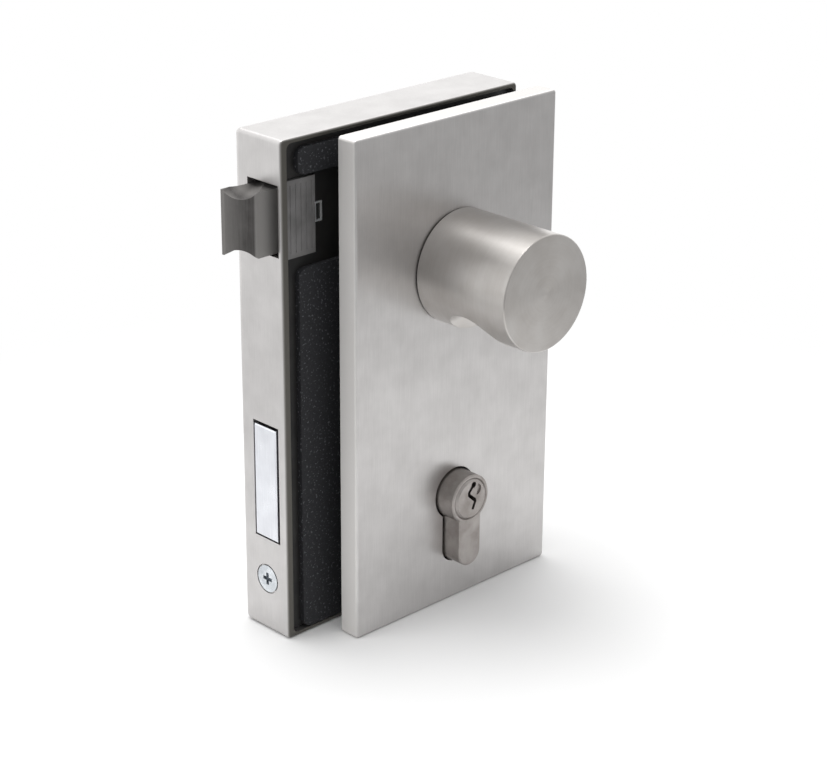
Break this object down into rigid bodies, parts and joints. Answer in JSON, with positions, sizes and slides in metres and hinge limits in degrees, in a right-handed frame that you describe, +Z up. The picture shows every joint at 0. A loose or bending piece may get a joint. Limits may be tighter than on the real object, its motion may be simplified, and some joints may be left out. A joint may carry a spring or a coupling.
{
  "type": "glass door lock",
  "caption": "Glass door lock whose cover and lock case clamp the glass, with a door knob, a spring latch, a key-thrown deadbolt and a profile cylinder.",
  "frame": {"origin": "follower's axis, in the middle of the gap for the glass", "axes": "+Y along the follower's axis from the cover to the lock case, +Z up, -X towards the forend and the latch"},
  "size_m": [0.1175, 0.0917, 0.17],
  "materials": {
    "brushed_stainless": "satin, fine brush lines",
    "latch_steel": "satin, drawn lines",
    "bolt_steel": "bright satin",
    "nickel_plated_brass": "matt nickel plate",
    "bare_brass": "turned",
    "zinc_plated_steel": "bright zinc plate",
    "sintered_steel": "sintered, dull",
    "spring_steel": "oiled",
    "black_plate": "matt black",
    "speckled_rubber": "black with pale specks",
    "grey_plastic": "half matt, glass-filled",
    "dark_plastic": "matt"
  },
  "bodies": {
    "housing": {"lock_case": "brushed_stainless", "carrier_plate": "black_plate", "carrier_screws": "zinc_plated_steel", "case_gasket_upper": "speckled_rubber", "case_gasket_lower": "speckled_rubber", "latch_guide": "grey_plastic", "guide_clip": "zinc_plated_steel", "spring_block": "zinc_plated_steel", "latch_spring": "spring_steel", "follower_bush_front": "bare_brass", "follower_bush_rear": "bare_brass", "knob_bearing": "bare_brass", "cylinder_body": "nickel_plated_brass", "outer_driver_pins": "bare_brass", "inner_driver_pins": "bare_brass", "outer_pin_springs": "spring_steel", "inner_pin_springs": "spring_steel", "cylinder_screw": "zinc_plated_steel", "bolt_guide_pin": "zinc_plated_steel", "bolt_leaf_spring": "spring_steel", "front_cover": "brushed_stainless", "counter_plate": "zinc_plated_steel", "cover_gasket": "speckled_rubber", "clamp_screws": "zinc_plated_steel", "clamp_sleeves": "zinc_plated_steel", "cover_screws": "zinc_plated_steel"},
    "knob_and_follower": {"knob": "brushed_stainless", "spindle": "zinc_plated_steel", "follower": "sintered_steel", "knob_set_screw": "spring_steel", "knob_washer": "dark_plastic", "knob_retaining_ring": "spring_steel"},
    "latch": {"latch_bolt": "latch_steel", "latch_rod": "zinc_plated_steel"},
    "key_side": {"outer_plug": "nickel_plated_brass", "outer_key_pins": "bare_brass", "cylinder_cam": "sintered_steel", "outer_plug_clip": "spring_steel"},
    "inner_side": {"inner_plug": "nickel_plated_brass", "inner_key_pins": "bare_brass", "inner_plug_clip": "spring_steel"},
    "bolt": {"deadbolt": "bolt_steel"}
  },
  "joints": [
    {"name": "knob_turn", "type": "hinge", "parent": "housing", "child": "knob_and_follower", "pos_m": [0, 0, 0], "axis": [0, 1, 0], "range_deg": [0, 35]},
    {"name": "latch_slide", "type": "slide", "parent": "housing", "child": "latch", "axis": [1, 0, 0], "range_m": [0, 0.011], "stiffness_N_per_m": 200, "springref_m": -0.01, "deforming": ["latch_spring"]},
    {"name": "key_turn", "type": "hinge", "parent": "housing", "child": "key_side", "pos_m": [0, 0, -0.081], "axis": [0, -1, 0], "range_deg": [0, 64]},
    {"name": "bolt_slide", "type": "slide", "parent": "housing", "child": "bolt", "axis": [-1, 0, 0], "range_m": [0, 0.0155]},
    {"name": "inner_plug_turn", "type": "hinge", "parent": "housing", "child": "inner_side", "pos_m": [0, 0, -0.081], "axis": [0, 1, 0], "range_deg": [0, 64]}
  ],
  "couplings": [
    {"joint": "latch_slide", "follows": "knob_turn", "m_per_rad": 0.018},
    {"joint": "key_turn", "follows": "bolt_slide", "rad_per_m": 72}
  ]
}
